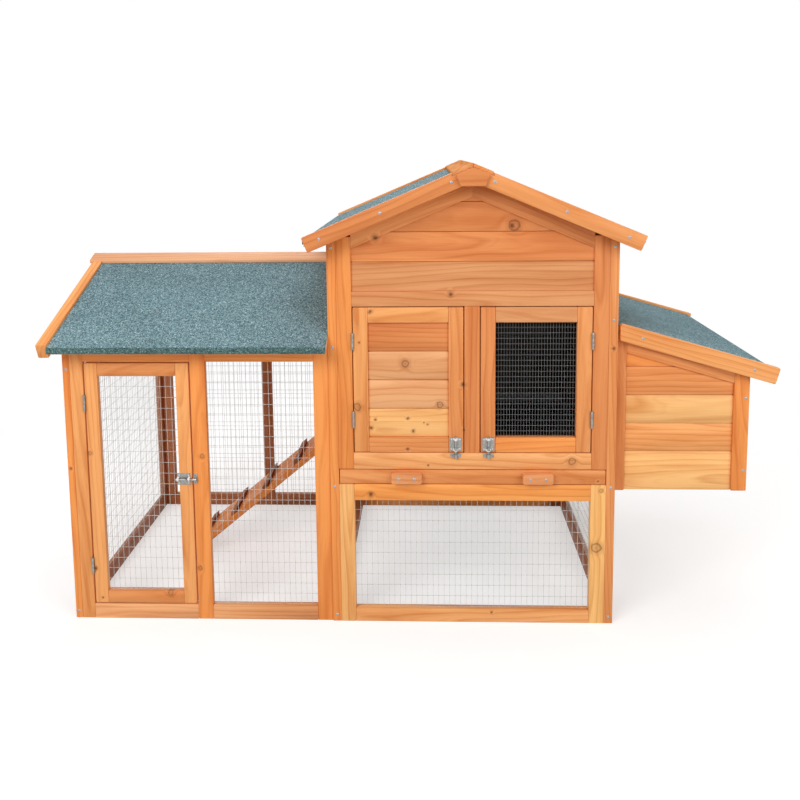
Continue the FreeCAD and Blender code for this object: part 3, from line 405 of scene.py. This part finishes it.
    skin = add("BsdfPrincipled", {"Base Color": skin_colour.outputs[2],
                                  "Roughness": rough.outputs[0],
                                  "Normal": bump.outputs[0], "Specular IOR Level": shine})
    add("OutputMaterial", {"Surface": skin.outputs[0]})
    return material


def knots_on(face, *knots):
    """Knots across a board and up it, with their radius, on boards whose face lies at one y."""
    return [(x, face, z, radius) for x, z, radius in knots]


house_face, plank_face, run_face = -326, -321, -323
brown_knot = colour(98, 44, 20)
stained_fir = fir(
    "stained_fir", 0.52, brown_knot, 0.5,
    dark_knots=knots_on(plank_face, (-66, 890, 6), (233, 914, 7), (-71, 478, 3), (2, 482, 3.4),
                        (14, 452, 3.8), (38, 472, 2), (47, 468, 2), (-80, 459, 4))
    + knots_on(house_face, (99, 765, 5), (-79, 727, 4), (126, 561, 5), (128, 456, 3),
               (47, 374, 2.4), (1, 412, 3.4), (190, 25, 2.6), (-84, 305, 5.5),
               (427, 338, 2.2), (-105, 656, 2.3), (456, 642, 3.6))
    + knots_on(run_face, (-726, 122, 4.6), (-712, 50, 2.7), (-770, 362, 3)),
    ring_knots=knots_on(plank_face, (237, 915, 12), (-3, 607, 8), (74, 513, 7))
    + knots_on(house_face, (-111, 509, 8), (368, 385, 8), (426, 181, 11), (434, 316, 4.5))
    + knots_on(run_face, (-724, 398, 4.5), (-552, 63, 6.5), (-467, 392, 5), (-481, 124, 5)))
plain_fir = fir("plain_fir", 0.4, colour(110, 66, 38), 0.6)

straw, honey, amber = colour(242, 180, 110), colour(237, 160, 92), colour(229, 148, 84)
# the last of these three, a darker brown, is a painted shade for boards that stand in shade
orange, russet, shade_brown = colour(237, 146, 72), colour(218, 134, 74), colour(176, 108, 66)
sand, biscuit = colour(216, 146, 91), colour(232, 164, 108)
wheat, flaxen, apricot = colour(252, 192, 116), colour(244, 171, 105), colour(240, 157, 79)
white_wood = (colour(226, 184, 134), colour(232, 192, 144), colour(220, 176, 124))
# the darker brown on some boards of the side and back frames is a painted shade
for node, stains_and_shades in (
        ("house_front_frame", (straw, orange, wheat, russet, flaxen, apricot, flaxen, sand,
                               russet)),
        ("house_left_frame", (orange, amber, shade_brown, shade_brown, amber)),
        ("house_right_frame", (amber, amber, shade_brown, shade_brown, amber)),
        ("house_back_frame", (amber, honey, shade_brown))):
    carve_boards(f"{node}_timber", node, "frame", stained_fir, stains_and_shades=stains_and_shades)


# ---- house planks -----------------------------------------------------------------------------
# Thin fir planks laid edge to edge in the frames, with a small vee where two meet. They are
# nailed from inside and stained with the rest.

for node, stains_and_shades in (("house_left_planks", (honey, amber, straw)),
                     ("house_right_planks", (amber, honey, straw)),
                     ("front_gable_planks", (sand, russet, russet, amber)),
                     ("house_back_planks", (honey, straw, amber, honey, orange))):
    carve_boards(f"{node}_timber", node, "frame", stained_fir, 0.0022, stains_and_shades)


# ---- house roof -------------------------------------------------------------------------------
# Two pine decks meet at the ridge. Barge boards cover their ends, a two-board cap covers the
# ridge, and a five-sided keystone covers the joint of the front barges.

# the gable rails take darker stains, amber and russet: a painted shade under the barge boards
for node, edge, stains_and_shades in (("gable_rails", 0.0016, (amber, russet)),
                           ("house_barge_boards", 0.0024, (russet, honey, amber, amber)),
                           ("house_keystone", 0.0024, (russet,))):
    carve_boards(f"{node}_timber", node, "frame", stained_fir, edge, stains_and_shades)
weathered_fir = fir("weathered_fir", 0.52, brown_knot, 0.7, 0)
carve_boards("house_ridge_cap_timber", "house_ridge_cap", "frame", weathered_fir,
             0.0018, (sand, amber))
carve_boards("house_roof_deck", "house_roof_boards", "frame", plain_fir, 0.0012,
             white_wood)


# ---- roofing felt -----------------------------------------------------------------------------
# Mineral felt, tacked over the decks and folded down at the eaves: bitumen sheet with a thick coat
# of crushed grey-green stone. The strip folded down at the eaves is painted darker, a painted
# shade.

def roofing_felt():
    material, add = new_material("mineral_felt")
    place = add("TexCoord").outputs["Object"]
    # the per-board colour read here darkens the folded strip at the eaves: a painted shade
    fold_shade = add("Attribute", attribute_name="stain_and_shade").outputs["Color"]
    grit = add("TexVoronoi", {"Vector": place, "Scale": 560})
    fine = add("TexNoise", {"Vector": place, "Scale": 900, "Detail": 2})
    clump = add("TexNoise", {"Vector": place, "Scale": 210, "Detail": 3, "Roughness": 0.7})
    patch = add("TexNoise", {"Vector": place, "Scale": 7, "Detail": 4})
    pick = add("SeparateColor", {"Color": grit.outputs["Color"]})
    stone = add("ValToRGB", {"Fac": pick.outputs["Red"]})
    steps = stone.color_ramp.elements
    steps[0].position, steps[0].color = 0.0, colour(66, 90, 94)
    steps[1].position, steps[1].color = 1.0, colour(196, 216, 222)
    for position, tint in ((0.3, colour(102, 131, 140)), (0.65, colour(127, 157, 164)),
                           (0.88, colour(150, 177, 182))):
        steps.new(position).color = tint
    shade = add("MapRange", {"Value": patch.outputs["Fac"], "From Min": 0.3, "From Max": 0.7,
                             "To Min": 0.86, "To Max": 1.04})
    lumps = add("MapRange", {"Value": clump.outputs["Fac"], "From Min": 0.32, "From Max": 0.68,
                             "To Min": 0.66, "To Max": 1.3})
    shade = add("Math", {0: shade.outputs[0], 1: lumps.outputs[0]}, operation="MULTIPLY")
    tinted = add("VectorMath", {0: stone.outputs["Color"], 1: shade.outputs[0]},
                 operation="MULTIPLY")
    tinted = add("VectorMath", {0: tinted.outputs[0], 1: fold_shade}, operation="MULTIPLY")
    height = add("Math", {0: clump.outputs["Fac"], 1: grit.outputs["Distance"]},
                 operation="SUBTRACT")
    height = add("Math", {0: height.outputs[0], 1: fine.outputs["Fac"]}, operation="ADD")
    bump = add("Bump", {"Height": height.outputs[0], "Strength": 0.7, "Distance": 0.0012})
    skin = add("BsdfPrincipled", {"Base Color": tinted.outputs[0], "Roughness": 0.92,
                                  "Normal": bump.outputs[0], "Specular IOR Level": 0.1})
    add("OutputMaterial", {"Surface": skin.outputs[0]})
    return material


mineral_felt = roofing_felt()
# the folded strip is darkened to half: a painted shade
unshaded_felt, shaded_fold = (1, 1, 1, 1), (0.5, 0.56, 0.5, 1)
for node, body in (("house_roof_felt", "frame"), ("run_roof_felt", "frame"),
                   ("lid_felt", "nest_lid")):
    carve_boards(f"{node}_sheet", node, body, mineral_felt, 0.0013,
                 (unshaded_felt, shaded_fold))


# ---- run --------------------------------------------------------------------------------------
# The low run on the left: a fir frame, three planks in its gable, and a small roof of its own
# that butts against the house wall.

# these two darker browns are painted shade: the run's back frame and most boards of its left frame
# stand behind the mesh and face inward
light_shade_brown, deep_shade_brown = colour(188, 118, 76), colour(158, 96, 60)
for node, edge, stains_and_shades in (
        ("run_front_frame", 0.0016, (honey, orange, orange, biscuit, orange, biscuit, orange)),
        ("run_back_frame", 0.0016, (light_shade_brown,)),
        ("run_left_frame", 0.0016, (orange, shade_brown, deep_shade_brown, shade_brown)),
        ("run_gable_planks", 0.0022, (honey, amber)), ("run_barge_boards", 0.0024, (honey,)),
        # the run's ridge cap takes a paler stain: a painted highlight where light falls on its top
        ("run_ridge_cap", 0.0018, (colour(226, 164, 118),))):
    carve_boards(f"{node}_timber", node, "frame", stained_fir, edge, stains_and_shades)
carve_boards("run_roof_deck", "run_roof_boards", "frame", plain_fir, 0.0012,
             white_wood)


# ---- ramp -------------------------------------------------------------------------------------
# One wide fir board from the run's floor up to the hole in the house wall, with plain cleats
# nailed across it for the rabbit's feet.

carve_boards("ramp_plank", "ramp_board", "frame", stained_fir, 0.002, (orange,))
carve_boards("ramp_cleat_strips", "ramp_cleats", "frame", plain_fir, 0.002,
             (colour(140, 84, 54), colour(152, 92, 58)))


# ---- nest box ---------------------------------------------------------------------------------
# The box that hangs on the right of the house: planked fir walls in a light frame, a plain
# floor, and a felted lid on two hinges.

for node, edge, stains_and_shades in (
        ("nest_frame", 0.0016, (amber, orange, amber)),
        ("nest_planks", 0.0022, (straw, honey, straw, amber, orange)),
        ("lid_batten", 0.0016, (amber,))):
    carve_boards(f"{node}_timber", node, "frame", stained_fir, edge, stains_and_shades)
carve_boards("nest_floor_board", "nest_floor", "frame", plain_fir, 0.0012,
             white_wood)
carve_boards("lid_barge_timber", "lid_barge_boards", "nest_lid", stained_fir,
             0.0024, (honey,))
carve_boards("lid_deck", "lid_boards", "nest_lid", plain_fir, 0.0012, white_wood)


# ---- doors ------------------------------------------------------------------------------------
# Three framed fir doors: one planked, one with a mesh window, and the tall run door with mesh.

pale_plank = colour(229, 163, 108)
for node, body, stains_and_shades in (
        ("left_door_frame", "left_door", (honey, amber, amber, honey)),
        ("right_door_frame", "right_door", (russet, amber, orange, sand)),
        ("run_door_frame", "run_door", (honey, honey, amber, amber))):
    carve_boards(f"{node}_timber", node, body, stained_fir, 0.002, stains_and_shades)
carve_boards("left_door_planks_timber", "left_door_planks", "left_door", stained_fir,
             0.0024, (straw, pale_plank, pale_plank, russet))


# ---- tray -------------------------------------------------------------------------------------
# The droppings tray slides out under the floor: a fir front with two block handles, screwed to
# a folded steel pan that rides on a runner at each side.

for node, edge, stain_and_shade in (("tray_front", 0.002, amber),
                          ("tray_handles", 0.0045, colour(228, 154, 98))):
    carve_boards(f"{node}_timber", node, "tray", stained_fir, edge, (stain_and_shade,))
carve_boards("tray_runner_strips", "tray_runners", "frame", plain_fir, 0.0014,
             white_wood)


def plated_metal(name, base, dull, grain_scale, roughness, metal=0.85):
    """Zinc plate or galvanised sheet, with faint spangle and fine rubbing marks."""
    material, add = new_material(name)
    place = add("TexCoord").outputs["Object"]
    spangle = add("TexVoronoi", {"Vector": place, "Scale": grain_scale})
    pick = add("SeparateColor", {"Color": spangle.outputs["Color"]})
    marks = add("TexNoise", {"Vector": place, "Scale": grain_scale * 6, "Detail": 3})
    blend = add("Math", {0: pick.outputs["Red"], 1: marks.outputs["Fac"]}, operation="MULTIPLY")
    tint = add("Mix", {"Factor": blend.outputs[0], 6: base, 7: dull}, data_type="RGBA")
    rough = add("MapRange", {"Value": marks.outputs["Fac"], "To Min": roughness - 0.1,
                             "To Max": roughness + 0.15})
    bump = add("Bump", {"Height": marks.outputs["Fac"], "Strength": 0.08, "Distance": 0.0004})
    skin = add("BsdfPrincipled", {"Base Color": tint.outputs[2], "Metallic": metal,
                                  "Roughness": rough.outputs[0], "Normal": bump.outputs[0]})
    add("OutputMaterial", {"Surface": skin.outputs[0]})
    return material


tray_sheet = plated_metal("tray_sheet", colour(96, 100, 104), colour(66, 70, 74), 70, 0.5)
carve_boards("tray_pan_sheet", "tray_pan", "tray", tray_sheet, 0.0005)


# ---- wire mesh --------------------------------------------------------------------------------
# Galvanised welded mesh stapled into the frames: upright wires laid on level ones, welded where
# they cross. The house window has a finer mesh than the run.

mesh_metal = plated_metal("galvanised_wire", colour(214, 214, 210), colour(178, 178, 174), 240,
                          0.5, 0.15)
fine_mesh_metal = plated_metal("fine_galvanised_wire", colour(150, 151, 150),
                               colour(112, 113, 112), 240, 0.5, 0.25)


def box_of(solid):
    """The low and the high corner of a solid."""
    points = np.array(solid).reshape(-1, 3)
    return Vector(points.min(0)), Vector(points.max(0))


def join_parts(parts, crease=35):
    """Makes one piece of several, with its edges sharp where faces meet at the crease or more."""
    deselect()
    for part in parts:
        part.select_set(True)
    bpy.context.view_layer.objects.active = parts[0]
    bpy.ops.object.join()
    bpy.ops.object.shade_smooth_by_angle(angle=math.radians(crease))
    return bpy.context.object


def wire_row(length, axis, start, step, spaces, radius):
    """A row of like wires: one drawn wire, repeated at an even step."""
    deselect()
    turns = {"x": (0, math.pi / 2, 0), "y": (math.pi / 2, 0, 0), "z": (0, 0, 0)}
    bpy.ops.mesh.primitive_cylinder_add(vertices=6, radius=radius, depth=length, location=start,
                                        rotation=turns[axis])
    row = bpy.context.object
    bpy.ops.object.transform_apply(location=True, rotation=True, scale=True)
    copies = row.modifiers.new("copies", "ARRAY")
    copies.use_relative_offset = False
    copies.use_constant_offset = True
    copies.constant_offset_displace = step
    copies.count = spaces + 1
    bpy.ops.object.modifier_apply(modifier=copies.name)
    return row


def weld_mesh(name, node, body, wide, tall, wire_radius, metal):
    """Fills each panel of a CAD mesh node with two crossing layers of wires."""
    rows = []
    for solid in shells(node):
        low, high = box_of(solid)
        size = high - low
        thin = 0 if size.x < size.y else 1
        side = 1 - thin
        middle = (low + high) / 2
        for axis, gap, run, layer in (("z", wide, side, -1), ("xy"[side], tall, 2, 1)):
            span = size[run]
            spaces = max(1, round(span / gap))
            step = Vector()
            step[run] = (span - 2 * wire_radius) / spaces
            start = middle.copy()
            start[run] = low[run] + wire_radius
            start[thin] += layer * wire_radius * 0.9
            length = size[2] if axis == "z" else size[side]
            rows.append(wire_row(length, axis, start, step, spaces, wire_radius))
    piece = join_parts(rows, 70)
    piece.name = name
    fit_piece(piece, node, body, metal)


run_mesh = (0.0127, 0.0254, 0.00046, mesh_metal)
window_mesh = (0.00635, 0.0127, 0.0003, fine_mesh_metal)
for node, body, size in (("run_mesh_panels", "frame", run_mesh),
                         ("lower_mesh_panels", "frame", run_mesh),
                         ("run_door_mesh", "run_door", run_mesh),
                         ("right_door_mesh", "right_door", window_mesh)):
    weld_mesh(f"{node}_wires", node, body, *size)


# ---- hinges and bolts -------------------------------------------------------------------------
# Stamped and zinc-plated steel. Butt hinges turn on a drawn pin. Each door has a small barrel
# bolt: a plate with two pressed loops and four screws, and an eared loop to shoot into.

zinc = plated_metal("zinc_plate", colour(168, 168, 164), colour(104, 106, 108), 320, 0.34)
loop_radius, loop_wall = 0.004, 0.0011


def screw_head(radius, tall):
    """One domed head facing up, with its crossed driver recess sunk in the middle."""
    deselect()
    bpy.ops.mesh.primitive_uv_sphere_add(segments=24, ring_count=12, radius=radius)
    head = bpy.context.object
    bpy.ops.object.mode_set(mode="EDIT")
    bpy.ops.mesh.select_all(action="SELECT")
    bpy.ops.mesh.bisect(plane_co=(0, 0, 0), plane_no=(0, 0, 1), clear_inner=True, use_fill=True)
    bpy.ops.object.mode_set(mode="OBJECT")
    head.scale = (1, 1, tall / radius)
    bpy.ops.object.transform_apply(scale=True)
    for turn in (0, math.pi / 2):
        deselect()
        bpy.ops.mesh.primitive_cube_add(size=1, location=(0, 0, tall), rotation=(0, 0, turn))
        slot_tool = bpy.context.object
        slot_tool.scale = (radius * 1.15, radius * 0.22, tall * 1.1)
        bpy.ops.object.transform_apply(rotation=True, scale=True, location=True)
        deselect()
        head.select_set(True)
        bpy.context.view_layer.objects.active = head
        sink = head.modifiers.new("recess", "BOOLEAN")
        sink.operation = "DIFFERENCE"
        sink.object = slot_tool
        bpy.ops.object.modifier_apply(modifier=sink.name)
        bpy.data.objects.remove(slot_tool)
    return head


def screws_at(seats, radius, tall, dice):
    """Like screw heads on seats that face the front, each turned by chance."""
    pattern = screw_head(radius, tall)
    heads = []
    for seat in seats:
        head = pattern.copy()
        head.data = pattern.data.copy()
        bpy.context.scene.collection.objects.link(head)
        turn = Matrix.Rotation(math.pi / 2, 4, "X") @ Matrix.Rotation(dice.uniform(0, 1.57), 4, "Z")
        head.data.transform(Matrix.Translation(seat) @ turn)
        heads.append(head)
    bpy.data.objects.remove(pattern)
    return heads


def bolt_loop(low, high, along):
    """A pressed loop that a bolt slides through: a round arch, two legs and a flat foot."""
    across = 2 - along
    middle = (low + high) / 2
    middle.y = low.y + loop_radius
    back = high.y - middle.y
    long, wide = high[along] - low[along], high[across] - low[across]
    deselect()
    bpy.ops.mesh.primitive_cylinder_add(vertices=28, radius=loop_radius, depth=long,
                                        end_fill_type="NOTHING")
    parts = [bpy.context.object]
    wall = parts[0].modifiers.new("wall", "SOLIDIFY")
    wall.thickness = loop_wall
    bpy.ops.object.modifier_apply(modifier=wall.name)
    leg = loop_radius - loop_wall / 2
    for place, size in (((leg, back / 2, 0), (loop_wall, back, long)),
                        ((-leg, back / 2, 0), (loop_wall, back, long)),
                        ((0, back - loop_wall / 2, 0), (wide, loop_wall, long))):
        deselect()
        bpy.ops.mesh.primitive_cube_add(size=1, location=place)
        bpy.context.object.scale = size
        bpy.ops.object.transform_apply(location=True, scale=True)
        parts.append(bpy.context.object)
    loop = join_parts(parts)
    soften = loop.modifiers.new("soft_edges", "BEVEL")
    soften.width = 0.0003
    soften.limit_method = "ANGLE"
    soften.angle_limit = math.radians(40)
    bpy.ops.object.modifier_apply(modifier=soften.name)
    turn = Matrix.Rotation(math.pi / 2 if along == 0 else 0, 4, "Y")
    loop.data.transform(Matrix.Translation(middle) @ turn)
    return loop


for node, body in (("frame_hinge_leaves", "frame"), ("hinge_pins", "frame"),
                   ("left_door_hinge_leaves", "left_door"),
                   ("right_door_hinge_leaves", "right_door"),
                   ("run_door_hinge_leaves", "run_door"), ("lid_hinge_leaves", "nest_lid"),
                   ("left_door_bolt", "left_bolt"), ("right_door_bolt", "right_bolt"),
                   ("run_door_bolt", "run_bolt")):
    carve_boards(f"{node}_plated", node, body, zinc, 0.0003)

dice = random.Random("bolts")
corner, small_head = 0.0042, (0.0017, 0.0009)
for door, along in (("left_door", 2), ("right_door", 2), ("run_door", 0)):
    node = f"{door}_bolt_plate"
    plate = carve_boards(f"{node}_plated", node, door, zinc, 0.0004, only=1)
    flat, near, far = (box_of(solid) for solid in shells(node))
    seats = [(x, flat[0].y, z) for x in (flat[0].x + corner, flat[1].x - corner)
             for z in (flat[0].z + corner, flat[1].z - corner)]
    join_parts([plate, bolt_loop(*near, along), bolt_loop(*far, along)]
               + screws_at(seats, *small_head, dice))

loops, seats = [], []
for solid in shells("bolt_keepers"):
    low, high = box_of(solid)
    along = 0 if high.x - low.x < high.z - low.z else 2
    loops.append(bolt_loop(low, high, along))
    middle, ear = (low + high) / 2, Vector()
    ear[2 - along] = (high - low)[2 - along] / 2 - 0.003
    seats += [(seat.x, high.y - loop_wall, seat.z) for seat in (middle - ear, middle + ear)]
keepers = join_parts(loops + screws_at(seats, *small_head, dice))
keepers.name = "bolt_keepers_plated"
fit_piece(keepers, "bolt_keepers", "frame", zinc)


# ---- screws -----------------------------------------------------------------------------------
# Domed wood screws with a cross recess, dull zinc, driven through the boards.

dull_zinc = plated_metal("screw_zinc", colour(186, 188, 190), colour(126, 128, 132), 700, 0.42,
                         0.55)


def drive_screws(name, node, body):
    """Puts one screw head at each screw of a CAD node."""
    boxes = [box_of(solid) for solid in shells(node)]
    size = boxes[0][1] - boxes[0][0]
    seats = [((low.x + high.x) / 2, high.y, (low.z + high.z) / 2) for low, high in boxes]
    piece = join_parts(screws_at(seats, size.x / 2, size.y, random.Random(name)))
    piece.name = name
    fit_piece(piece, node, body, dull_zinc)


for node, body in (("frame_screws", "frame"), ("lid_screws", "nest_lid"),
                   ("tray_handle_screws", "tray")):
    drive_screws(f"{node}_heads", node, body)
